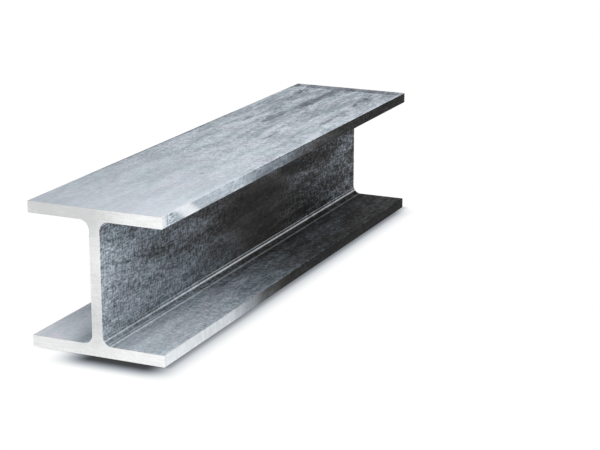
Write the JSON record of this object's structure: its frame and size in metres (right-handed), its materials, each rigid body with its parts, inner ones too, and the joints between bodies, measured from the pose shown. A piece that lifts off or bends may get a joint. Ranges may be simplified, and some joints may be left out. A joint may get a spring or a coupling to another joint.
{
  "type": "steel wide-flange beam",
  "caption": "Short cut length of hot-rolled wide-flange steel beam: parallel flanges joined by a web of about their own thickness, with filleted roots and square sawn ends.",
  "frame": {"origin": "on the outer face of the lower flange, under the middle of the beam", "axes": "+Y along the beam, +X across the flanges, +Z from the lower flange to the upper flange"},
  "size_m": [0.324, 1.4, 0.328],
  "materials": {
    "rolled_steel": "hot-rolled skin of blue-grey mill scale, rubbed bright in places, with pale sawn ends"
  },
  "bodies": {
    "root": {"i_beam": "rolled_steel"}
  },
  "joints": []
}
